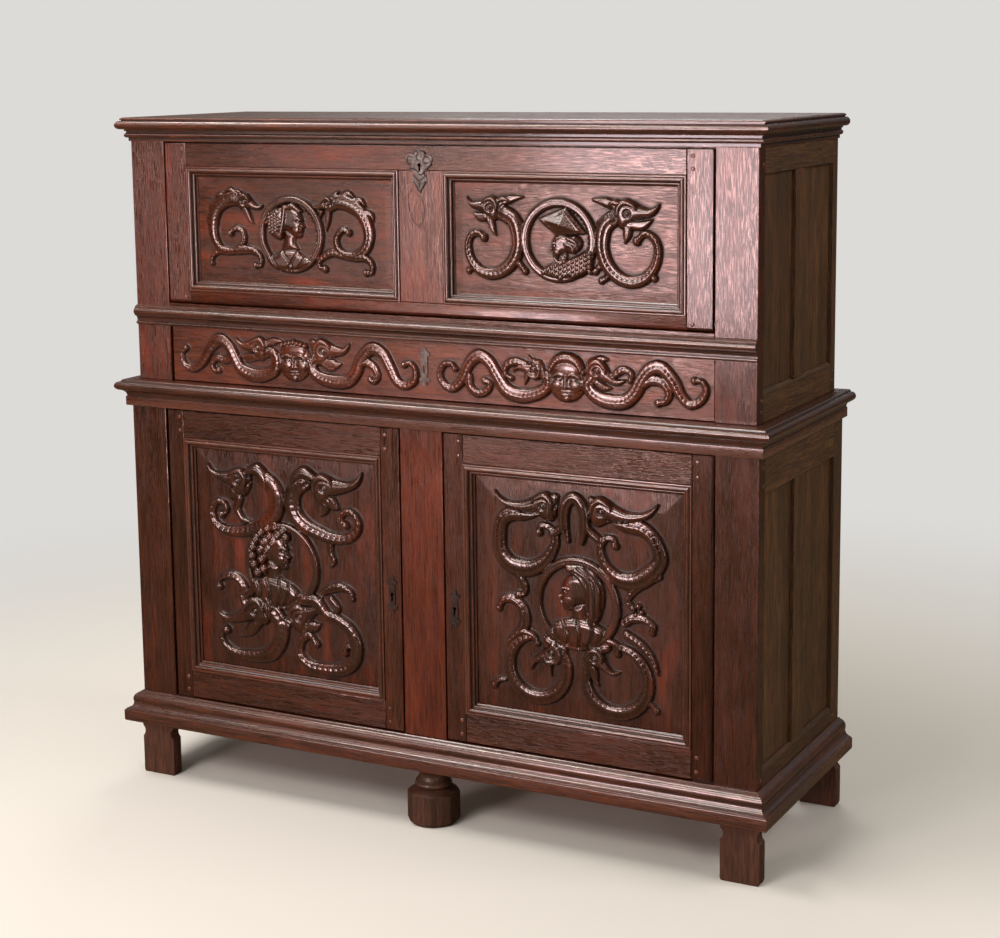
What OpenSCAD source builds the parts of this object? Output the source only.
// Oak secretary cabinet in two stages: a fall-front writing stage with a drawer under it,
// standing on a cupboard with two doors. The carved panels are held in mitred mouldings.
// The frame is +Z up, front towards -Y, origin under the middle of the whole object.

/* [Stages] */
// Width of the upper stage over its posts
upper_w = 1280; // [1100:5:1500]
// Depth of the upper stage from post face to back boards
upper_d = 406; // [370:2:480]
// Width of the lower stage over its posts
lower_w = 1300; // [1140:5:1540]
// Depth of the lower stage
lower_d = 440; // [400:2:520]
// How far the upper stage stands behind the face of the lower one
upper_setback = 14; // [8:1:20]

/* [Heights] */
// Height of the feet under the base frame
foot_h = 112; // [90:1:140]
// Height of the base moulding
base_h = 59; // [52:1:75]
// Clear height of the door openings
door_opening_h = 581; // [480:5:680]
// Height of the waist moulding
waist_h = 51; // [51:1:60]
// Clear height of the drawer opening
drawer_opening_h = 109; // [90:1:140]
// Height of the rail between the drawer and the fall
ledge_h = 43; // [43:1:55]
// Clear height of the fall opening
fall_opening_h = 310; // [270:2:380]
// Height of the cornice
cornice_h = 45; // [45:1:55]

/* [Frame boards] */
// Width of the upper front posts
upper_post_w = 77; // [60:1:95]
// Width of the lower front posts
lower_post_w = 79; // [62:1:95]
// Thickness of the front posts and rails
post_t = 28; // [24:1:36]
// Thickness of the side frames
side_t = 22; // [18:1:26]
// Depth of the rear stiles seen from the side, upper stage
upper_rear_stile_w = 24; // [18:1:45]
// Depth of the rear stiles seen from the side, lower stage
lower_rear_stile_w = 46; // [30:1:60]
// Width of the middle stile of each upper side
upper_side_muntin_w = 46; // [30:1:70]
// Width of the middle stile of each lower side
lower_side_muntin_w = 64; // [30:1:80]
// Height of the top rail of each upper side
upper_side_top_rail_h = 69; // [50:1:80]
// Height of the bottom rail of each upper side
upper_side_low_rail_h = 55; // [40:1:80]
// Height of the top rail of each lower side
lower_side_top_rail_h = 101; // [70:1:130]
// Height of the bottom rail of each lower side
lower_side_low_rail_h = 92; // [70:1:120]
// Thickness of the plain side panels
side_panel_t = 9; // [6:1:11]
// How far the side panels lie behind the face of their frame
side_panel_recess = 8; // [4:0.5:10]
// Thickness of the back boards
back_t = 10; // [8:1:16]
// Number of upright back boards in each stage
back_boards = 6; // [3:1:9]
// Thickness of the top board
top_t = 20; // [14:1:26]
// Thickness of the board that closes the lower stage
waist_board_t = 18; // [14:1:24]
// Width of the fixed muntin between the doors
centre_muntin_w = 88; // [60:1:120]
// Width of the flush bevel on the side frames
side_chamfer = 5; // [2:1:8]

/* [Feet] */
// Width of the corner feet
corner_foot_w = 74; // [60:1:100]
// Thickness of the boards that the corner feet are sawn from
corner_foot_t = 26; // [18:1:40]
// How far the corner feet stand out past the sides of the carcass
corner_foot_out = 7; // [0:1:16]
// Width of the middle foot across its flats
centre_foot_w = 92; // [74:1:104]
// Height of the eight-sided block of the middle foot
centre_block_h = 70; // [56:1:76]

/* [Fall] */
// Thickness of the fall and of the doors
leaf_t = 24; // [22:1:27]
// Gap at each end of the fall
fall_side_gap = 3; // [2:0.5:5]
// Gap under the fall
fall_low_gap = 1.5; // [1:0.25:3]
// Gap over the fall
fall_top_gap = 3; // [2:0.5:5]
// Width of the fall's stiles
fall_stile_w = 48; // [42:1:60]
// Width of the fall's top rail
fall_top_rail_w = 44; // [40:1:56]
// Width of the fall's bottom rail
fall_low_rail_w = 24; // [24:1:34]
// Width of the fall's muntin
fall_muntin_w = 90; // [80:1:120]
// Radius of the iron quadrant stays
stay_r = 165; // [140:1:172]
// Width of the quadrant bar
stay_w = 12; // [8:1:14]
// Thickness of the quadrant bar
stay_t = 4; // [3:0.5:5]
// Opening angle at which the stay's head meets its keeper
fall_open_angle = 90; // [88:1:91]

/* [Doors] */
// Gap between a door and its post
door_side_gap = 2.5; // [2:0.5:4]
// Gap between a door and the centre muntin
door_lock_gap = 3; // [2:0.5:5]
// Gap over and under a door
door_end_gap = 3; // [3:0.5:5]
// Width of the hinge stile and the lock stile of a door
door_stile_w = 39; // [38:1:60]
// Width of the door rails
door_rail_w = 54; // [40:1:70]
// Height of the left keyhole over the middle of the door
left_key_rise = -26; // [-60:1:60]
// Height of the right keyhole over the middle of the door
right_key_rise = -37; // [-60:1:60]
// Diameter of the iron pivot pins
pivot_d = 8; // [6:0.5:9]

/* [Panels and mouldings] */
// Width of the moulding round each carved panel
moulding_w = 20; // [18:1:24]
// Depth from the face of the frame to the ground of a carved panel
ground_depth = 10; // [8:0.5:12]
// Thickness of the panel behind its ground
panel_t = 10; // [8:0.5:12]
// Height of the carving over its ground
relief = 8; // [4:0.5:9]
// Width of the carved scrolls
scroll_w = 18; // [12:1:20]
// Radius of the medallions on the fall
fall_medallion_r = 70; // [60:1:80]
// Radius of the medallions on the doors
door_medallion_r = 83; // [60:1:95]
// Height of a door's medallion over the middle of its panel
door_medallion_rise = -2; // [-40:1:40]
// Depth of the groove that holds a panel
tongue = 6; // [4:0.5:7]

/* [Drawer] */
// Space left behind the drawer
drawer_back_gap = 36; // [10:1:90]
// Thickness of the drawer front, carving and all
drawer_front_t = 24; // [20:1:30]
// Height of the drawer's carving over its ground
drawer_relief = 6; // [3:0.5:7]
// Radius of the two round masks on the drawer
mask_r = 34; // [26:1:38]
// Distance of the masks from the middle of the drawer
mask_x = 283; // [270:1:290]
// Thickness of the drawer sides and back
drawer_side_t = 12; // [9:1:16]
// Thickness of the drawer bottom
drawer_bottom_t = 8; // [6:1:10]
// Gap at each end of the drawer front
drawer_end_gap = 2.5; // [1.5:0.5:4]
// Gap over the drawer front
drawer_top_gap = 2.7; // [2:0.1:4]
// Gap under the drawer front
drawer_low_gap = 2; // [1:0.5:3]

/* [Locks] */
// Width of the lock cases on the fall and the drawer
lock_w = 66; // [50:1:80]
// Height of the lock case on the fall
fall_lock_h = 58; // [44:1:70]
// Height of the lock case on the drawer
drawer_lock_h = 58; // [52:1:70]
// Depth of the drawer's keyhole under the top edge of the front
drawer_key_drop = 46; // [40:1:50]
// Width of the door lock cases
door_lock_w = 30; // [26:1:31]
// Height of the door lock cases
door_lock_h = 64; // [50:1:80]
// Thickness of every lock case
lock_t = 11; // [9:0.5:12]
// Width of the bolts
bolt_w = 12; // [8:1:16]
// Thickness of the bolts
bolt_t = 6; // [4:0.5:7]
// Travel of the bolts
bolt_travel = 11; // [10:0.5:12]

/* [Writing fitting] */
// Thickness of the writing bed
bed_t = 18; // [14:1:22]
// Depth of the pigeonholes
pigeonhole_d = 190; // [150:5:205]
// Height of the pigeonhole case
pigeonhole_h = 255; // [220:1:265]
// Space between each end of the pigeonhole case and the line of the fall opening
pigeonhole_end_gap = 23; // [21:1:80]
// Number of pigeonholes over the letter drawers
pigeonholes_across = 8; // [4:1:12]
// Thickness of the pigeonhole boards
thin_t = 10; // [7:1:12]
// Clear height of the letter drawer row
letter_row_h = 70; // [50:1:90]

/* [Cupboard] */
// Thickness of the cupboard floor and shelf
shelf_t = 18; // [14:1:24]
// Height of the shelf over the cupboard floor
shelf_rise = 290; // [200:5:400]
// Width of the strips that carry the shelf
cleat_w = 22; // [16:1:32]

/* [Hidden] */
$fn = 64;

// Shared clearances
seat_gap = 0.3;
joint_gap = 0.2;
pin_clearance = 0.05;
slide_gap = 0.3;
bolt_play = 1;
through = 1;

// How far each moulding stands out from the carcass
base_reach = 29;
waist_reach = 25;
ledge_reach = 13;
cornice_reach = 22;

// Levels
base_z = foot_h;
opening_z = base_z + base_h;
waist_z = opening_z + door_opening_h;
shelf_top_z = waist_z + waist_h;
ledge_z = shelf_top_z + drawer_opening_h;
fall_z = ledge_z + ledge_h;
head_z = fall_z + fall_opening_h;
top_z = head_z + cornice_h;

// Planes from front to back
lower_y = base_reach - (lower_d + base_reach) / 2;
lower_back_y = lower_y + lower_d;
upper_y = lower_y + upper_setback;
upper_back_y = upper_y + upper_d;

// Openings between the posts
upper_half = upper_w / 2;
lower_half = lower_w / 2;
fall_half = upper_half - upper_post_w;
door_half = lower_half - lower_post_w;
muntin_half = centre_muntin_w / 2;

// Fall
fall_end = fall_half - fall_side_gap;
fall_low_z = fall_z + fall_low_gap;
fall_high_z = head_z - fall_top_gap;
fall_axis_y = upper_y + leaf_t / 2;
fall_axis_z = fall_low_z + leaf_t / 2;
bed_z = fall_axis_z + leaf_t / 2;
fall_panel_w = fall_end - fall_stile_w - fall_muntin_w / 2;
fall_panel_h = fall_high_z - fall_low_z - fall_top_rail_w - fall_low_rail_w;
fall_panel_x = fall_muntin_w / 2 + fall_panel_w / 2;
fall_panel_z = fall_low_z + fall_low_rail_w + fall_panel_h / 2;
fall_key_z = fall_high_z - 34;
stay_x = fall_end - 9;
stop_w = 14;
stop_h = 18;
keeper_t = 12;
keeper_y = upper_y + post_t + seat_gap;
keeper_h = 30;
keeper_land = 12;
stay_head_w = stay_w + 6;
stay_head_span = 3.5;
stay_foot_t = 3;
// Angle from upright at which the inner corner of the stay's head bears on the keeper
keeper_angle = asin((keeper_y + keeper_t - fall_axis_y) / (stay_r - stay_head_w / 2));
stay_head_angle = keeper_angle + fall_open_angle + 0.3;

// Doors
door_outer = door_half - door_side_gap;
door_inner = muntin_half + door_lock_gap;
door_w = door_outer - door_inner;
door_low_z = opening_z + door_end_gap;
door_high_z = waist_z - door_end_gap;
door_h = door_high_z - door_low_z;
door_mid_z = (door_low_z + door_high_z) / 2;
door_mid_x = (door_outer + door_inner) / 2;
door_panel_w = door_w - 2 * door_stile_w;
door_panel_h = door_h - 2 * door_rail_w;
door_axis_x = door_outer - leaf_t / 2;
door_axis_y = lower_y + leaf_t / 2;
door_key_in = 19;

// Drawer
drawer_half = fall_half - drawer_end_gap;
drawer_d = upper_d - back_t - drawer_back_gap;
drawer_low_z = shelf_top_z + drawer_low_gap;
drawer_high_z = ledge_z - drawer_top_gap;
drawer_key_z = drawer_high_z - drawer_key_drop;
runner_h = 12;
guide_h = 25;

// Writing fitting
pigeonhole_w = 2 * (fall_half - pigeonhole_end_gap);
pigeonhole_back_y = upper_back_y - back_t - seat_gap;
pigeonhole_y = pigeonhole_back_y - pigeonhole_d;
letter_bay_w = (pigeonhole_w - 4 * thin_t) / 3;

// Cupboard
cupboard_y = lower_y + post_t;
cupboard_back_y = lower_back_y - back_t;
shelf_z = opening_z + shelf_rise;

// The carved scrolls as arcs about a panel's middle: across, up, radius, start and span in degrees
fall_left_scrolls = [
  [-127, 6, 54, 72, 157], [-139, -10, 30, -116, 134], [-101, -66, 31, 10, 88],
  [108, 1, 57, -24, 140], [127, -11, 30, -212, 176], [90, -66, 29, 90, 78], [152, -62, 20, -27, 108]
];
fall_right_scrolls = [
  [-146, -2, 61, -92, 156], [-148, -18, 38, -220, 116], [143, -3, 61, 130, 146], [135, -14, 44, -62, 114]
];
left_door_scrolls = [
  [-59, 128, 48, -70, 134], [-118, 167, 114, -104, 18], [-137, 87, 30, -283, 160],
  [71, 130, 50, 119, 138], [138, 94, 31, -128, 236], [-132, -67, 40, -100, 222],
  [-49, -131, 40, -50, 140], [-91, -90, 103, -120, 62], [107, -144, 53, -52, 132], [124, -168, 21, -150, 80]
];
right_door_scrolls = [
  [-110, 116, 39, 122, 76], [-105, 92, 45, -184, 130], [-90, 109, 45, -44, 92],
  [112, 186, 39, -154, 74], [119, 106, 41, -20, 100], [102, 105, 48, -204, 160],
  [-129, -34, 29, -36, 186], [122, -45, 32, 46, 94], [-78, -130, 54, 95, 275], [82, -132, 56, 170, 270]
];
drawer_scrolls = [
  [-511, -2, 26, 176, 165], [-434, -14, 48, 50, 120], [-366, 18, 50, -140, 164],
  [-188, 18, 52, -160, 145], [-106, 4, 30, 6, 150], [-42, -3, 27, -166, 220],
  [58, -4, 25, 92, 246], [127, 5, 29, 30, 95], [200, 18, 52, -130, 112],
  [376, 19, 53, -162, 145], [459, 4, 29, 14, 145], [522, -1, 28, -160, 214]
];
// The fields that those arcs are laid out for
fall_field = [427, 197.5];
door_field = [403.5, 427];
drawer_field = [1121, 104.3];

pivot_depth = 14;
pivot_plate_t = 2.5;
plate_t = 2;

oak = "#5a3325";
oak_dark = "#3c2419";
oak_red = "#6e3a28";
iron = "#2d2a28";
brass = "#4a3c26";

// A block between two corners
module block(low, high) {
  translate(low) cube(high - low);
}

// The children and their mirror image in the middle plane
module both_sides() {
  children();
  mirror([1, 0, 0]) children();
}

// A bar of the child profile along +X: profile x is up, profile y is towards the front
module bar_along_x(length) {
  rotate([90, 0, 0]) rotate([90, 0, 90]) linear_extrude(length) children();
}

// A moulding round the front and both sides, mitred at the front corners.
// The child profile has x outwards and y up.
module three_sided_moulding(half_w, front_y, back_y, low_z, reach, height) {
  intersection() {
    translate([-half_w - reach, front_y, low_z])
      mirror([0, 1, 0]) rotate([90, 0, 90]) linear_extrude(2 * (half_w + reach)) children();
    translate([0, 0, low_z - through]) linear_extrude(height + 2 * through)
      polygon([
        [-half_w, front_y], [half_w, front_y],
        [half_w + reach + through, front_y - reach - through],
        [-half_w - reach - through, front_y - reach - through]
      ]);
  }
  both_sides() intersection() {
    translate([half_w, back_y, low_z])
      rotate([90, 0, 0]) linear_extrude(back_y - front_y + reach) children();
    translate([0, 0, low_z - through]) linear_extrude(height + 2 * through)
      polygon([
        [half_w, front_y + joint_gap],
        [half_w + reach + through, front_y + joint_gap - reach - through],
        [half_w + reach + through, back_y], [half_w, back_y]
      ]);
  }
}

module cornice_profile() {
  bead_r = 4.6;
  torus_r = 8;
  torus_x = cornice_reach - torus_r;
  square([3, 7]);
  translate([0, 6.5]) square([bead_r, 2 * bead_r]);
  translate([bead_r, 6.5 + bead_r]) circle(bead_r);
  translate([0, 15]) square([6, 6]);
  difference() {
    translate([0, 19]) square([torus_x, 6]);
    translate([torus_x, 19]) circle(5.5);
  }
  translate([0, 22.5]) square([torus_x, 2 * torus_r]);
  translate([torus_x, 22.5 + torus_r]) circle(torus_r);
  translate([0, 38]) square([12.5, 3]);
  polygon([[0, 40.5], [14.5, 40.5], [14.5, 43], [10, cornice_h], [0, cornice_h]]);
}

module waist_profile() {
  nose_r = 8;
  nose_x = waist_reach - nose_r;
  fascia_h = 18;
  polygon([[0, 0], [8.5, 0], [9, 1], [9, fascia_h - 1], [8, fascia_h], [0, fascia_h]]);
  difference() {
    translate([0, fascia_h - 0.5]) square([20, 14]);
    translate([20, fascia_h]) circle(13);
  }
  translate([0, 31]) square([nose_x, 2 * nose_r]);
  translate([nose_x, 31 + nose_r]) circle(nose_r);
  polygon([[0, 46.5], [15.5, 46.5], [14.5, 49.5], [12.5, waist_h], [0, waist_h]]);
}

module ledge_profile() {
  nose_r = 6.4;
  nose_x = ledge_reach - nose_r;
  bead_r = 2.6;
  square([1.5, 9]);
  translate([0, 1.5]) square([bead_r, 2 * bead_r]);
  translate([bead_r, 1.5 + bead_r]) circle(bead_r);
  difference() {
    translate([0, 8]) square([10, 14]);
    translate([10.5, 9.5]) circle(9);
  }
  translate([0, 20]) square([nose_x, 2 * nose_r]);
  translate([nose_x, 20 + nose_r]) circle(nose_r);
  polygon([[0, 32], [8.5, 32], [8, 35.5], [0, ledge_h - 4]]);
}

module base_profile() {
  fascia_h = 23;
  hump_r = 14;
  polygon([[0, 0], [base_reach - 2, 0], [base_reach, 2], [base_reach, fascia_h - 1],
           [base_reach - 1, fascia_h], [0, fascia_h]]);
  difference() {
    translate([0, fascia_h - 0.5]) square([26.5, 15]);
    translate([27.5, fascia_h + 14]) circle(12.5);
  }
  intersection() {
    translate([2, 43]) circle(hump_r);
    square([base_reach, base_h]);
  }
  polygon([[0, 30], [15, 36], [15.9, 44], [8, 54], [3, base_h], [0, base_h]]);
}

// The moulding round a carved panel: x runs inwards from the frame, y stands over the ground
module panel_moulding_profile() {
  proud = 5;
  bead_r = 4.2;
  bead_y = ground_depth + proud - bead_r;
  small_r = 2.6;
  small_x = moulding_w - 5.5;
  small_y = ground_depth - 4.5;
  square([3.2, ground_depth + 2.5]);
  square([3.2 + 2 * bead_r, bead_y]);
  translate([3.2 + bead_r, bead_y]) circle(bead_r);
  polygon([[9, 0], [small_x, 0], [small_x, small_y + 1],
           [11, ground_depth - 1], [9, ground_depth - 1]]);
  translate([small_x - small_r, 0]) square([2 * small_r, small_y]);
  translate([small_x, small_y]) circle(small_r);
  polygon([[small_x, 0], [moulding_w, 0], [moulding_w, 1.2], [small_x + 2, 3.2]]);
}

// Four mitred lengths of panel moulding, centred on the opening, standing on the ground at y 0
module opening_moulding(w, h) {
  for (turn = [0:3]) {
    length = turn % 2 == 0 ? w : h;
    offset_z = turn % 2 == 0 ? h : w;
    rotate([0, 90 * turn, 0]) translate([0, 0, -offset_z / 2]) intersection() {
      translate([-length / 2, 0, 0]) bar_along_x(length) panel_moulding_profile();
      translate([0, through, -through]) rotate([90, 0, 0]) linear_extrude(2 * leaf_t)
        polygon([
          [-length / 2 + joint_gap - through, 0], [length / 2 - joint_gap + through, 0],
          [length / 2 - joint_gap - moulding_w, moulding_w + through],
          [-length / 2 + joint_gap + moulding_w, moulding_w + through]
        ]);
    }
  }
}

// A panel with a thin tongue all round, its ground at y 0, centred on its opening
module tongued_panel(w, h) {
  block([-w / 2 + seat_gap, 0, -h / 2 + seat_gap], [w / 2 - seat_gap, panel_t, h / 2 - seat_gap]);
  block([-w / 2 - tongue + seat_gap, 3, -h / 2 - tongue + seat_gap],
        [w / 2 + tongue - seat_gap, panel_t - 1, h / 2 + tongue - seat_gap]);
}

// The groove that takes the tongue of such a panel
module panel_groove(w, h) {
  block([-w / 2 - tongue, 3 - joint_gap, -h / 2 - tongue],
        [w / 2 + tongue, panel_t - 1 + joint_gap, h / 2 + tongue]);
}

// A keyhole through a face that looks to the front
module keyhole(depth) {
  translate([0, -through, 0]) rotate([-90, 0, 0]) {
    cylinder(d = 7, h = depth + through);
    translate([-1.8, 0, 0]) cube([3.6, 12, depth + through]);
  }
}

// The hole that a bolt shoots into, open towards -Z
module bolt_mortise() {
  block([-bolt_w / 2 - bolt_play, -bolt_t / 2 - bolt_play, -through],
        [bolt_w / 2 + bolt_play, bolt_t / 2 + bolt_play, bolt_travel]);
}

module top_board() {
  color(oak_dark) block([-upper_half, upper_y, top_z - top_t], [upper_half, upper_back_y, top_z]);
}

module cornice_moulding() {
  color(oak) three_sided_moulding(upper_half, upper_y, upper_back_y, head_z, cornice_reach, cornice_h)
    cornice_profile();
}

// The rail over the fall, and under it the strip that the closed fall rests against
module head_rail() {
  stop_y = upper_y + leaf_t + seat_gap;
  color(oak) {
    difference() {
      block([-fall_half, upper_y, head_z], [fall_half, stop_y + stop_w, top_z - top_t]);
      translate([0, upper_y + leaf_t - lock_t / 2, head_z]) bolt_mortise();
    }
    block([-fall_half, stop_y, head_z - stop_h], [fall_half, stop_y + stop_w, head_z - joint_gap]);
  }
}

module upper_front_posts() {
  color(oak_red) both_sides() difference() {
    block([fall_half, upper_y, shelf_top_z], [upper_half, upper_y + post_t, top_z - top_t]);
    translate([fall_half - through, fall_axis_y, fall_axis_z])
      rotate([0, 90, 0]) cylinder(d = pivot_d + 2 * pin_clearance, h = pivot_depth + through + 0.5);
  }
}

// From where to where each of the two panels of a side reaches, with its tongues
function side_bays(front_y, rear_y, mid_y, muntin_w) =
  [[front_y, mid_y - muntin_w / 2 + tongue], [mid_y + muntin_w / 2 - tongue, rear_y + tongue]];

// One side frame: rails, middle stile and rear stile, grooved for two panels
module side_frame(half_w, front_y, back_y, low_z, high_z, low_rail, top_rail, muntin_w, rear_w) {
  inner = half_w - side_t;
  rear_y = back_y - rear_w;
  mid_y = (front_y + rear_y) / 2;
  difference() {
    union() {
      block([inner, rear_y, low_z], [half_w, back_y, high_z]);
      block([inner, front_y, low_z], [half_w, rear_y - joint_gap, low_z + low_rail]);
      block([inner, front_y, high_z - top_rail], [half_w, rear_y - joint_gap, high_z]);
      block([inner, mid_y - muntin_w / 2, low_z + low_rail + joint_gap],
            [half_w, mid_y + muntin_w / 2, high_z - top_rail - joint_gap]);
    }
    for (ends = side_bays(front_y, rear_y, mid_y, muntin_w))
      block([half_w - side_panel_recess - side_panel_t - joint_gap, ends[0], low_z + low_rail - tongue],
            [half_w - side_panel_recess + joint_gap, ends[1], high_z - top_rail + tongue]);
    // The bevel along the bottom rail that the panels stand behind
    translate([half_w, front_y - through, low_z + low_rail]) rotate([-90, 0, 0])
      linear_extrude(rear_y - front_y + through)
        polygon([[through, -through], [-side_chamfer - through, -through],
                 [through, side_chamfer + through]]);
  }
}

// The two plain panels of one side, their tongues in the frame's grooves
module side_panels(half_w, front_y, back_y, low_z, high_z, low_rail, top_rail, muntin_w, rear_w) {
  rear_y = back_y - rear_w;
  mid_y = (front_y + rear_y) / 2;
  outer = half_w - side_panel_recess;
  for (ends = side_bays(front_y + seat_gap, rear_y, mid_y, muntin_w))
    block([outer - side_panel_t, ends[0], low_z + low_rail - tongue + seat_gap],
          [outer, ends[1] - seat_gap, high_z - top_rail + tongue - seat_gap]);
}

module upper_side_frames() {
  color(oak_dark) both_sides()
    side_frame(upper_half, upper_y + post_t, upper_back_y, shelf_top_z, top_z - top_t,
               upper_side_low_rail_h, upper_side_top_rail_h, upper_side_muntin_w, upper_rear_stile_w);
}

module upper_side_panels() {
  color(oak_dark) both_sides()
    side_panels(upper_half, upper_y + post_t, upper_back_y, shelf_top_z, top_z - top_t,
                upper_side_low_rail_h, upper_side_top_rail_h, upper_side_muntin_w, upper_rear_stile_w);
}

// Upright boards side by side between the side frames
module back_planks(half_w, low_z, high_z, back_y) {
  step = 2 * (half_w - side_t - seat_gap) / back_boards;
  for (i = [0:back_boards - 1])
    translate([-half_w + side_t + seat_gap + i * step, back_y - back_t, low_z])
      cube([step - joint_gap, back_t, high_z - low_z]);
}

module upper_back_boards() {
  color(oak_dark) back_planks(upper_half, shelf_top_z, top_z - top_t, upper_back_y);
}

module ledge_rail() {
  color(oak) difference() {
    block([-fall_half, upper_y, ledge_z], [fall_half, upper_y + post_t, fall_z]);
    translate([0, upper_y + drawer_front_t - lock_t / 2, ledge_z]) bolt_mortise();
  }
}

module ledge_moulding() {
  color(oak) translate([-upper_half, upper_y, ledge_z - 2])
    mirror([0, 1, 0]) rotate([90, 0, 90]) linear_extrude(upper_w) ledge_profile();
}

// The bed lies level with the opened fall, with a slot for each quadrant stay
module writing_bed() {
  inner = upper_half - side_t - seat_gap;
  swing_r = leaf_t / 2 + fall_low_gap;
  color(oak) difference() {
    union() {
      block([-fall_half + seat_gap, fall_axis_y + swing_r, bed_z - bed_t],
            [fall_half - seat_gap, upper_y + post_t + 1, bed_z]);
      block([-inner, upper_y + post_t + seat_gap, bed_z - bed_t],
            [inner, upper_back_y - back_t - seat_gap, bed_z]);
    }
    both_sides() block(
      [stay_x - stay_t - 1, fall_axis_y + stay_r - stay_head_w / 2 - 3, bed_z - bed_t - through],
      [stay_x + 1, fall_axis_y + stay_r + stay_head_w / 2 + 2, bed_z + through]
    );
  }
}

// Guides beside the drawer and kickers over it
module drawer_runners() {
  inner = upper_half - side_t - seat_gap;
  front = upper_y + post_t + seat_gap;
  back = upper_back_y - back_t - seat_gap;
  color(oak_dark) both_sides() {
    block([fall_half, front, shelf_top_z], [inner, back, shelf_top_z + guide_h]);
    block([fall_half - 30, front, ledge_z], [inner, back, ledge_z + runner_h]);
  }
}

module waist_board() {
  color(oak) block([-lower_half, lower_y, shelf_top_z - waist_board_t],
                   [lower_half, lower_back_y, shelf_top_z]);
}

module waist_moulding() {
  color(oak) three_sided_moulding(lower_half, lower_y, lower_back_y, waist_z, waist_reach, waist_h)
    waist_profile();
}

module lower_front_posts() {
  color(oak_red) both_sides()
    block([door_half, lower_y, base_z], [lower_half, lower_y + post_t, shelf_top_z - waist_board_t]);
}

module lower_side_frames() {
  color(oak_dark) both_sides()
    side_frame(lower_half, lower_y + post_t, lower_back_y, base_z, shelf_top_z - waist_board_t,
               lower_side_low_rail_h, lower_side_top_rail_h, lower_side_muntin_w, lower_rear_stile_w);
}

module lower_side_panels() {
  color(oak_dark) both_sides()
    side_panels(lower_half, lower_y + post_t, lower_back_y, base_z, shelf_top_z - waist_board_t,
                lower_side_low_rail_h, lower_side_top_rail_h, lower_side_muntin_w, lower_rear_stile_w);
}

module lower_back_boards() {
  color(oak_dark) back_planks(lower_half, base_z, shelf_top_z - waist_board_t, lower_back_y);
}

// The rails over and under the doors, bored for the pivot pins
module lower_front_rails() {
  bore_d = pivot_d + 2 * pin_clearance;
  color(oak) difference() {
    union() {
      block([-door_half, lower_y, base_z], [door_half, lower_y + post_t, opening_z]);
      block([-door_half, lower_y, waist_z], [door_half, lower_y + post_t, shelf_top_z - waist_board_t]);
    }
    both_sides() {
      translate([door_axis_x, door_axis_y, opening_z - pivot_depth - 0.5])
        cylinder(d = bore_d, h = pivot_depth + 0.5 + through);
      translate([door_axis_x, door_axis_y, waist_z - through])
        cylinder(d = bore_d, h = pivot_depth + 0.5 + through);
    }
  }
}

// The fixed muntin takes both bolts in mortises
module centre_muntin() {
  color(oak_red) difference() {
    block([-muntin_half, lower_y, opening_z], [muntin_half, lower_y + post_t, waist_z]);
    for (side = [[-1, left_key_rise], [1, right_key_rise]])
      translate([side[0] * muntin_half, lower_y + leaf_t - lock_t / 2, door_mid_z + side[1]])
        rotate([0, -90 * side[0], 0]) bolt_mortise();
  }
}

module cupboard_floor() {
  inner = lower_half - side_t - seat_gap;
  color(oak_dark) block([-inner, cupboard_y + seat_gap, opening_z - shelf_t],
                        [inner, cupboard_back_y - seat_gap, opening_z]);
}

module cupboard_shelf() {
  inner = lower_half - side_t - seat_gap;
  color(oak_dark) block([-inner, cupboard_y + seat_gap, shelf_z],
                        [inner, cupboard_back_y - seat_gap, shelf_z + shelf_t]);
}

// Strips on the sides and the back that carry the shelf
module shelf_cleats() {
  inner = lower_half - side_t;
  color(oak_dark) {
    both_sides() block([inner - cleat_w, cupboard_y + cleat_w, shelf_z - cleat_w],
                       [inner, cupboard_back_y - cleat_w - joint_gap, shelf_z]);
    block([-inner, cupboard_back_y - cleat_w, shelf_z - cleat_w], [inner, cupboard_back_y, shelf_z]);
  }
}

module base_moulding() {
  color(oak) three_sided_moulding(lower_half, lower_y, lower_back_y, base_z, base_reach, base_h)
    base_profile();
}

// A corner foot: an upright board, its face at y 0, with a hollow sawn into each edge near the top
module foot_board() {
  w = corner_foot_w;
  hollow_z = foot_h - 26;
  hollow_r = 13;
  hollow_in = 6;
  translate([-w / 2, 0, 0]) mirror([0, 1, 0]) rotate([90, 0, 0]) linear_extrude(corner_foot_t)
    difference() {
      polygon([[3, 0], [w - 3, 0], [w, 6], [w, foot_h], [0, foot_h], [0, 6]]);
      translate([hollow_in - hollow_r, hollow_z]) circle(hollow_r);
      translate([w + hollow_r - hollow_in, hollow_z]) circle(hollow_r);
    }
}

module front_corner_feet() {
  color(oak_dark) both_sides()
    translate([lower_half + corner_foot_out - corner_foot_w / 2, lower_y, 0]) foot_board();
}

module rear_corner_feet() {
  color(oak_dark) both_sides()
    translate([lower_half + corner_foot_out - corner_foot_w / 2, lower_back_y - corner_foot_t, 0])
      foot_board();
}

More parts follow.
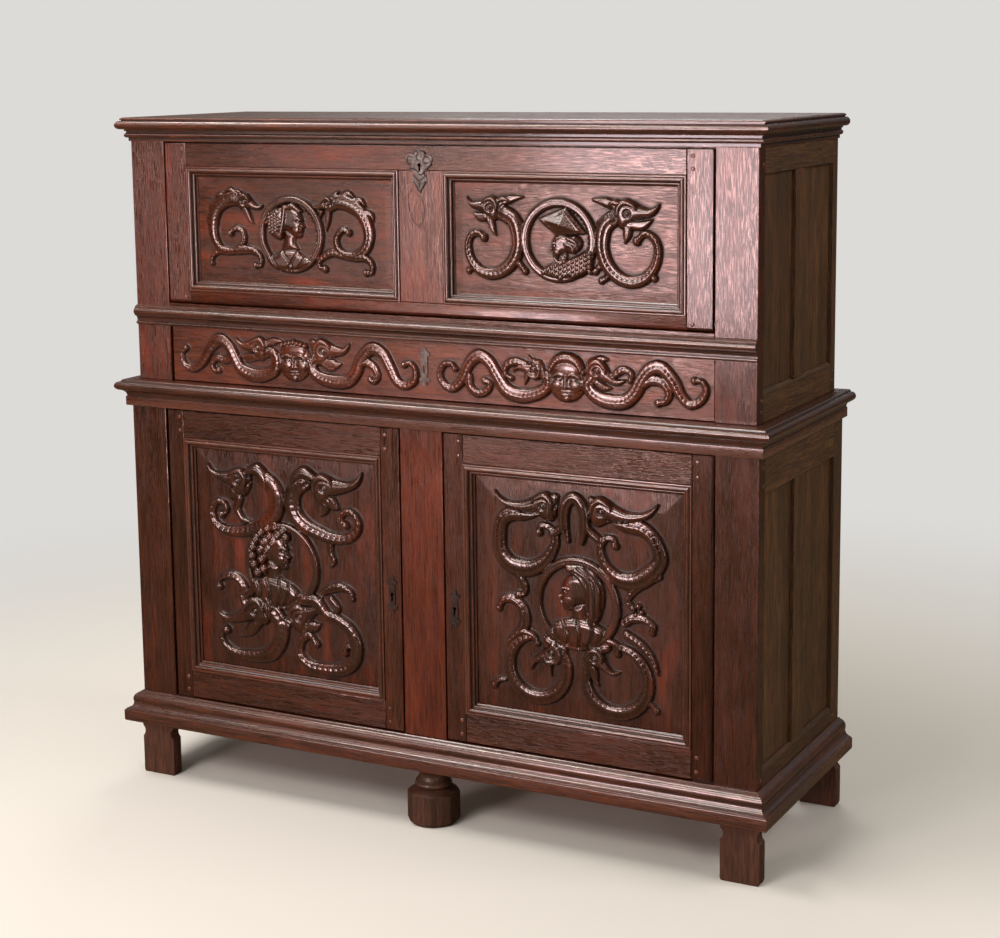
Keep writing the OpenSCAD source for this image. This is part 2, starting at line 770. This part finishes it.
// The middle front foot: an eight-sided block under a turned neck, set forward under the moulding
module centre_foot() {
  half = centre_foot_w / 2;
  neck_h = foot_h - centre_block_h;
  neck_r = half - 19;
  bead_r = 5;
  hollow_r = 13;
  forward = 20;
  color(oak_dark) translate([0, lower_y + half - forward, 0]) {
    intersection() {
      rotate([0, 0, 22.5]) cylinder(r = half / cos(22.5), h = centre_block_h, $fn = 8);
      rotate_extrude($fn = 96)
        polygon([[0, 0], [half - 4, 0], [half + 5, 9], [half + 5, centre_block_h - 12],
                 [neck_r + 5, centre_block_h], [0, centre_block_h]]);
    }
    translate([0, 0, centre_block_h]) rotate_extrude($fn = 96) {
      square([neck_r + 3, 2 * bead_r]);
      translate([neck_r + 3, bead_r]) circle(bead_r);
      difference() {
        translate([0, bead_r]) square([neck_r + 6, neck_h - bead_r]);
        translate([neck_r + hollow_r, 2 * bead_r + hollow_r]) circle(hollow_r);
      }
    }
  }
}

// Boards of the pigeonhole case: ends, shelves, and dividers over and between the letter drawers
module pigeonholes() {
  half = pigeonhole_w / 2;
  row_z = bed_z + letter_row_h;
  hole_w = (pigeonhole_w - 2 * thin_t) / pigeonholes_across;
  back = pigeonhole_back_y;
  color(oak) {
    both_sides() block([half - thin_t, pigeonhole_y, bed_z], [half, back, bed_z + pigeonhole_h]);
    for (z = [row_z, bed_z + pigeonhole_h - thin_t])
      block([-half + thin_t + joint_gap, pigeonhole_y, z], [half - thin_t - joint_gap, back, z + thin_t]);
    for (i = [1:pigeonholes_across - 1])
      translate([-half + thin_t + i * hole_w - thin_t / 2, pigeonhole_y + 6, row_z + thin_t + joint_gap])
        cube([thin_t, pigeonhole_d - 6, pigeonhole_h - letter_row_h - 2 * thin_t - 2 * joint_gap]);
    for (side = [-1, 1])
      translate([side * (letter_bay_w + thin_t) / 2 - thin_t / 2, pigeonhole_y, bed_z])
        cube([thin_t, pigeonhole_d, letter_row_h - joint_gap]);
  }
}

// Iron pivots: washers and pins for the fall, plates with pins over and under each door
module pivot_pins() {
  reach = pivot_depth - 0.5;
  color(iron) both_sides() {
    translate([fall_end - reach, fall_axis_y, fall_axis_z]) rotate([0, 90, 0])
      cylinder(d = pivot_d, h = reach + fall_side_gap + pivot_depth);
    translate([fall_half - pivot_plate_t, fall_axis_y, fall_axis_z]) rotate([0, 90, 0])
      cylinder(d = 2.2 * pivot_d, h = pivot_plate_t);
    for (end = [[opening_z, 0], [waist_z, 180]])
      translate([door_axis_x, door_axis_y, end[0]]) rotate([0, end[1], 0]) {
        translate([0, 0, -pivot_depth]) cylinder(d = pivot_d, h = pivot_depth + door_end_gap + reach);
        mirror([end[1] > 0 ? 1 : 0, 0, 0])
          block([-26, -8, 0], [door_half - door_axis_x, 8, pivot_plate_t]);
      }
  }
}

// The path that a quadrant stay sweeps about the fall's axis
module stay_arc(width, thickness, from_angle, span) {
  translate([stay_x, fall_axis_y, fall_axis_z])
    rotate([0, -90, 0]) rotate([0, 0, from_angle]) rotate_extrude(angle = span, $fn = 180)
      translate([stay_r - width / 2, 0]) square([width, thickness]);
}

// Keepers behind the posts, each with a slot that the stay slides through
module stay_keepers() {
  low = fall_axis_z + stay_r * cos(keeper_angle) - keeper_h / 2;
  color(iron) both_sides() difference() {
    block([stay_x - stay_t - keeper_land / 3, keeper_y - seat_gap, low],
          [fall_half + keeper_land, keeper_y + keeper_t, low + keeper_h]);
    translate([0.5, 0, 0]) stay_arc(stay_w + 1, stay_t + 1, -10, 60);
  }
}

// The fall's frame: two stiles, two rails and the muntin, grooved for the panels
module fall_frame() {
  front = upper_y;
  back = upper_y + leaf_t;
  rail_end = fall_end - fall_stile_w - joint_gap;
  swing_r = leaf_t / 2 + fall_low_gap - 0.3;
  half_muntin = fall_muntin_w / 2;
  color(oak) difference() {
    intersection() {
      union() {
        both_sides() block([fall_end - fall_stile_w, front, fall_low_z], [fall_end, back, fall_high_z]);
        block([-rail_end, front, fall_high_z - fall_top_rail_w], [rail_end, back, fall_high_z]);
        block([-rail_end, front, fall_low_z], [rail_end, back, fall_low_z + fall_low_rail_w]);
        block([-half_muntin, front, fall_low_z + fall_low_rail_w + joint_gap],
              [half_muntin, back, fall_high_z - fall_top_rail_w - joint_gap]);
      }
      // The bottom edge is rounded about the pivot so that it turns clear of the ledge
      union() {
        block([-upper_w, front, fall_axis_z], [upper_w, back, head_z]);
        translate([-fall_end, fall_axis_y, fall_axis_z]) rotate([0, 90, 0])
          cylinder(r = swing_r, h = 2 * fall_end, $fn = 96);
      }
    }
    for (side = [-1, 1])
      translate([side * fall_panel_x, front + ground_depth, fall_panel_z])
        panel_groove(fall_panel_w, fall_panel_h);
    both_sides() translate([fall_end - pivot_depth, fall_axis_y, fall_axis_z])
      rotate([0, 90, 0]) cylinder(d = pivot_d + 2 * pin_clearance, h = pivot_depth + through);
    block([-lock_w / 2 - seat_gap, back - lock_t - seat_gap, fall_high_z - fall_lock_h - seat_gap],
          [lock_w / 2 + seat_gap, back + through, fall_high_z + through]);
    translate([0, front, fall_key_z]) keyhole(leaf_t - lock_t);
  }
}

// A round medallion standing on the ground at y 0: a ring with a swelling field inside
module medallion(outer_r) {
  ring_w = 13;
  field_r = outer_r - ring_w + 1;
  swell = 0.55 * relief;
  dome_r = (field_r * field_r + swell * swell) / (2 * swell);
  rotate([90, 0, 0]) rotate_extrude($fn = 96) {
    intersection() {
      translate([0, swell - dome_r]) circle(dome_r, $fn = 720);
      translate([0, -through]) square([field_r, relief + through]);
    }
    translate([outer_r - ring_w, -through]) square([ring_w, relief - ring_w / 4 + through]);
    intersection() {
      translate([outer_r - ring_w / 2, relief - ring_w / 2]) circle(ring_w / 2);
      square([outer_r, relief]);
    }
  }
}

// Carved scrolls standing on the ground at y 0, all sizes times the fit to the field
module scrolls(arcs, half_w, rise, fit) {
  for (arc = arcs)
    translate([fit * arc[0], 0, fit * arc[1]]) rotate([90, 0, 0]) rotate([0, 0, arc[3]])
      rotate_extrude(angle = arc[4], $fn = 96) translate([fit * arc[2], 0]) intersection() {
        translate([0, rise - half_w]) circle(half_w);
        translate([-half_w, -through]) square([2 * half_w, rise + through]);
      }
}

// A round boss standing on the ground at y 0
module boss(r, rise) {
  dome_r = (r * r + rise * rise) / (2 * rise);
  rotate([90, 0, 0]) rotate_extrude($fn = 96) intersection() {
    translate([0, rise - dome_r]) circle(dome_r, $fn = 180);
    translate([0, -through]) square([r, rise + through]);
  }
}

// Carved panels of the fall, with a medallion between scrolls on each
module fall_panels() {
  fit = min((fall_panel_w - 2 * moulding_w) / fall_field[0], (fall_panel_h - 2 * moulding_w) / fall_field[1]);
  color(oak_red) for (side = [-1, 1])
    translate([side * fall_panel_x, upper_y + ground_depth, fall_panel_z]) {
      tongued_panel(fall_panel_w, fall_panel_h);
      medallion(fit * fall_medallion_r);
      scrolls(side < 0 ? fall_left_scrolls : fall_right_scrolls, fit * scroll_w / 2, relief, fit);
    }
}

module fall_mouldings() {
  color(oak) for (side = [-1, 1])
    translate([side * fall_panel_x, upper_y + ground_depth, fall_panel_z])
      opening_moulding(fall_panel_w - 2 * joint_gap, fall_panel_h - 2 * joint_gap);
}

// The large plate of the fall: a round head with a horn at each side and one on top, over a pointed leaf
module fall_escutcheon() {
  color(iron) translate([0, upper_y, fall_key_z]) difference() {
    rotate([90, 0, 0]) {
      translate([0, 3, 0]) cylinder(r = 19, h = plate_t);
      translate([0, 16, 0]) cylinder(r = 11, h = plate_t);
      for (side = [-1, 1]) {
        translate([side * 17, 9, 0]) cylinder(r = 10, h = plate_t);
        translate([side * 6, -26, 0]) cylinder(r = 9, h = plate_t);
      }
      linear_extrude(plate_t) polygon([[-9, 0], [9, 0], [9, -27], [-9, -27]]);
      linear_extrude(plate_t) polygon([[-13, -31], [0, -12], [13, -31], [0, -51]]);
    }
    translate([0, -plate_t, 0]) keyhole(plate_t + through);
  }
}

// A lock case whose bolt channel is open towards +Z; the top edge is at z 0, the outer face at y 0
module lock_case(w, h) {
  difference() {
    block([-w / 2, -lock_t, -h], [w / 2, 0, 0]);
    block([-bolt_w / 2 - slide_gap, -lock_t / 2 - bolt_t / 2 - slide_gap, -h + 6],
          [bolt_w / 2 + slide_gap, -lock_t / 2 + bolt_t / 2 + slide_gap, through]);
  }
}

module lock_bolt(h) {
  block([-bolt_w / 2, -lock_t / 2 - bolt_t / 2, -h + 6 + slide_gap],
        [bolt_w / 2, -lock_t / 2 + bolt_t / 2, -0.5]);
}

module fall_lock() {
  color(iron) translate([0, upper_y + leaf_t, fall_high_z]) lock_case(lock_w, fall_lock_h);
}

module fall_bolt() {
  color(brass) translate([0, upper_y + leaf_t, fall_high_z]) lock_bolt(fall_lock_h);
}

// Quadrant stays: a foot on the fall's inner face, the bar, and the head that meets the keeper
module fall_stays() {
  inner_face = upper_y + leaf_t;
  start = asin((leaf_t / 2) / (stay_r + stay_w / 2));
  color(iron) both_sides() difference() {
    union() {
      stay_arc(stay_w, stay_t, start - 1, stay_head_angle - start + 1);
      stay_arc(stay_head_w, stay_t, stay_head_angle, stay_head_span);
      block([stay_x - stay_t - 6, inner_face, fall_axis_z + stay_r - 34],
            [stay_x + 6, inner_face + stay_foot_t, fall_axis_z + stay_r + 30]);
    }
    block([stay_x - 2 * stay_t, upper_y - 2 * stay_r, fall_axis_z],
          [stay_x + stay_t, inner_face, fall_axis_z + 2 * stay_r]);
  }
}

// A right-hand door leaf in its own place: hinge stile outside, lock stile at the muntin
module door_frame(key_rise) {
  front = lower_y;
  back = lower_y + leaf_t;
  swing_r = leaf_t / 2 + door_side_gap - 0.3;
  rail_low = door_inner + door_stile_w + joint_gap;
  rail_high = door_outer - door_stile_w - joint_gap;
  lock_z = door_mid_z + key_rise;
  difference() {
    intersection() {
      union() {
        block([door_inner, front, door_low_z], [door_inner + door_stile_w, back, door_high_z]);
        block([door_outer - door_stile_w, front, door_low_z], [door_outer, back, door_high_z]);
        block([rail_low, front, door_low_z], [rail_high, back, door_low_z + door_rail_w]);
        block([rail_low, front, door_high_z - door_rail_w], [rail_high, back, door_high_z]);
      }
      // The hinge edge is rounded about the pivot so that it turns clear of the post
      union() {
        block([0, front, door_low_z], [door_axis_x, back, door_high_z]);
        translate([door_axis_x, door_axis_y, door_low_z]) cylinder(r = swing_r, h = door_h, $fn = 96);
      }
    }
    translate([door_mid_x, front + ground_depth, door_mid_z]) panel_groove(door_panel_w, door_panel_h);
    for (end = [[door_low_z - through, 1], [door_high_z - pivot_depth, 0]])
      translate([door_axis_x, door_axis_y, end[0]])
        cylinder(d = pivot_d + 2 * pin_clearance, h = pivot_depth + through);
    block([door_inner - through, back - lock_t - seat_gap, lock_z - door_lock_h / 2 - seat_gap],
          [door_inner + door_lock_w + seat_gap, back + through, lock_z + door_lock_h / 2 + seat_gap]);
    translate([door_inner + door_key_in, front, lock_z]) keyhole(leaf_t - lock_t);
  }
}

// A right-hand door's panel, carved with the arcs as they are or, with flip -1, turned left for right
module door_panel(arcs, flip) {
  fit = min((door_panel_w - 2 * moulding_w) / door_field[0], (door_panel_h - 2 * moulding_w) / door_field[1]);
  translate([door_mid_x, lower_y + ground_depth, door_mid_z]) {
    tongued_panel(door_panel_w, door_panel_h);
    translate([0, 0, door_medallion_rise]) medallion(fit * door_medallion_r);
    mirror([flip < 0 ? 1 : 0, 0, 0]) scrolls(arcs, fit * (scroll_w / 2 + 1), relief, fit);
  }
}

module door_moulding() {
  translate([door_mid_x, lower_y + ground_depth, door_mid_z])
    opening_moulding(door_panel_w - 2 * joint_gap, door_panel_h - 2 * joint_gap);
}

// The slim door plate with three leaves at each end
module door_plate_outline() {
  square([13, 52], center = true);
  for (end = [-1, 1]) {
    translate([0, end * 30]) circle(5);
    for (side = [-1, 1]) translate([side * 7, end * 24]) circle(4);
  }
}

module door_escutcheon(key_rise) {
  difference() {
    translate([door_inner + door_key_in, lower_y, door_mid_z + key_rise])
      rotate([90, 0, 0]) linear_extrude(plate_t) door_plate_outline();
    translate([door_inner + door_key_in, lower_y - plate_t, door_mid_z + key_rise])
      keyhole(plate_t + through);
  }
}

// Door lock cases lie on their side, with the bolt towards the muntin
module door_lock(key_rise) {
  translate([door_inner, lower_y + leaf_t, door_mid_z + key_rise]) rotate([0, -90, 0])
    lock_case(door_lock_h, door_lock_w);
}

module door_bolt(key_rise) {
  translate([door_inner, lower_y + leaf_t, door_mid_z + key_rise]) rotate([0, -90, 0])
    lock_bolt(door_lock_w);
}

module left_door_frame() {
  color(oak) mirror([1, 0, 0]) door_frame(left_key_rise);
}

module left_door_panel() {
  color(oak_red) mirror([1, 0, 0]) door_panel(left_door_scrolls, -1);
}

module left_door_moulding() {
  color(oak) mirror([1, 0, 0]) door_moulding();
}

module left_door_escutcheon() {
  color(iron) mirror([1, 0, 0]) door_escutcheon(left_key_rise);
}

module left_door_lock() {
  color(iron) mirror([1, 0, 0]) door_lock(left_key_rise);
}

module left_door_bolt() {
  color(brass) mirror([1, 0, 0]) door_bolt(left_key_rise);
}

module right_door_frame() {
  color(oak) door_frame(right_key_rise);
}

module right_door_panel() {
  color(oak_red) door_panel(right_door_scrolls, 1);
}

module right_door_moulding() {
  color(oak) door_moulding();
}

module right_door_escutcheon() {
  color(iron) door_escutcheon(right_key_rise);
}

module right_door_lock() {
  color(iron) door_lock(right_key_rise);
}

module right_door_bolt() {
  color(brass) door_bolt(right_key_rise);
}

// The carving stands on a ground set back from the posts, and its crests are flush with them
module drawer_front() {
  ground = upper_y + drawer_relief;
  back = upper_y + drawer_front_t;
  mid_z = (drawer_low_z + drawer_high_z) / 2;
  fit = min(2 * drawer_half / drawer_field[0], (drawer_high_z - drawer_low_z) / drawer_field[1]);
  color(oak_red) difference() {
    union() {
      block([-drawer_half, ground, drawer_low_z], [drawer_half, back, drawer_high_z]);
      translate([0, ground, mid_z]) scrolls(drawer_scrolls, fit * (scroll_w / 2 - 2), drawer_relief, fit);
      for (side = [-1, 1]) translate([side * fit * mask_x, ground, mid_z]) boss(fit * mask_r, drawer_relief);
    }
    block([-drawer_half + drawer_side_t + 1, back - 5, drawer_low_z + 8 - joint_gap],
          [drawer_half - drawer_side_t - 1, back + through, drawer_low_z + 8 + drawer_bottom_t + joint_gap]);
    block([-lock_w / 2 - seat_gap, back - lock_t - seat_gap, drawer_high_z - drawer_lock_h - seat_gap],
          [lock_w / 2 + seat_gap, back + through, drawer_high_z + through]);
    translate([0, ground, drawer_key_z]) keyhole(drawer_front_t - drawer_relief - lock_t);
  }
}

// Two sides and the back of the drawer
module drawer_sides() {
  low = shelf_top_z + slide_gap;
  high = drawer_high_z - 8;
  front = upper_y + drawer_front_t;
  back = upper_y + drawer_d;
  inner = drawer_half - drawer_side_t;
  color(oak_dark) {
    both_sides() difference() {
      block([inner, front, low], [drawer_half, back, high]);
      block([inner - through, front - through, drawer_low_z + 8 - joint_gap],
            [inner + 5, back + through, drawer_low_z + 8 + drawer_bottom_t + joint_gap]);
    }
    block([-inner + joint_gap, back - drawer_side_t, drawer_low_z + 8 + drawer_bottom_t + joint_gap],
          [inner - joint_gap, back, high]);
  }
}

module drawer_bottom() {
  inner = drawer_half - drawer_side_t;
  color(oak_dark) union() {
    block([-inner - 5 + seat_gap, upper_y + drawer_front_t, drawer_low_z + 8],
          [inner + 5 - seat_gap, upper_y + drawer_d, drawer_low_z + 8 + drawer_bottom_t]);
    block([-inner + 1 + seat_gap, upper_y + drawer_front_t - 5 + seat_gap, drawer_low_z + 8],
          [inner - 1 - seat_gap, upper_y + drawer_front_t + 1, drawer_low_z + 8 + drawer_bottom_t]);
  }
}

module drawer_escutcheon() {
  ground = upper_y + drawer_relief;
  color(iron) difference() {
    translate([0, ground, drawer_key_z]) rotate([90, 0, 0]) linear_extrude(plate_t) door_plate_outline();
    translate([0, ground - plate_t, drawer_key_z]) keyhole(plate_t + through);
  }
}

module drawer_lock() {
  color(iron) translate([0, upper_y + drawer_front_t, drawer_high_z]) lock_case(lock_w, drawer_lock_h);
}

module drawer_bolt() {
  color(brass) translate([0, upper_y + drawer_front_t, drawer_high_z]) lock_bolt(drawer_lock_h);
}

// A letter drawer: front, sides, back and bottom boards, and its turned knob
module letter_drawer(bay) {
  half = letter_bay_w / 2 - 1;
  high = letter_row_h - 2;
  wall = 7;
  front_wall = 12;
  depth = pigeonhole_d - 12;
  translate([bay * (letter_bay_w + thin_t), pigeonhole_y + 1, bed_z + slide_gap]) {
    color(oak_red) block([-half, 0, 0], [half, front_wall, high]);
    color(oak) {
      both_sides() block([half - wall, front_wall + joint_gap, 0], [half, depth, high]);
      block([-half + wall + joint_gap, depth - wall, 0], [half - wall - joint_gap, depth, high]);
      block([-half + wall + joint_gap, front_wall + joint_gap, 0],
            [half - wall - joint_gap, depth - wall - joint_gap, wall]);
    }
    color(oak_dark) translate([0, -joint_gap, high / 2]) rotate([90, 0, 0]) rotate_extrude($fn = 48)
      polygon([[0, 0], [6, 0], [5.5, 1.5], [3, 3], [2.6, 6], [6, 8.5],
               [7.5, 11.5], [6.2, 14.5], [3, 16], [0, 16.4]]);
  }
}

module letter_drawer_left() {
  letter_drawer(-1);
}

module letter_drawer_middle() {
  letter_drawer(0);
}

module letter_drawer_right() {
  letter_drawer(1);
}

top_board();
cornice_moulding();
head_rail();
upper_front_posts();
upper_side_frames();
upper_side_panels();
upper_back_boards();
ledge_rail();
ledge_moulding();
writing_bed();
drawer_runners();
waist_board();
waist_moulding();
lower_front_posts();
lower_side_frames();
lower_side_panels();
lower_back_boards();
lower_front_rails();
centre_muntin();
cupboard_floor();
cupboard_shelf();
shelf_cleats();
base_moulding();
front_corner_feet();
centre_foot();
rear_corner_feet();
pigeonholes();
pivot_pins();
stay_keepers();
fall_frame();
fall_panels();
fall_mouldings();
fall_escutcheon();
fall_lock();
fall_stays();
fall_bolt();
left_door_frame();
left_door_panel();
left_door_moulding();
left_door_escutcheon();
left_door_lock();
left_door_bolt();
right_door_frame();
right_door_panel();
right_door_moulding();
right_door_escutcheon();
right_door_lock();
right_door_bolt();
drawer_front();
drawer_sides();
drawer_bottom();
drawer_escutcheon();
drawer_lock();
drawer_bolt();
letter_drawer_left();
letter_drawer_middle();
letter_drawer_right();
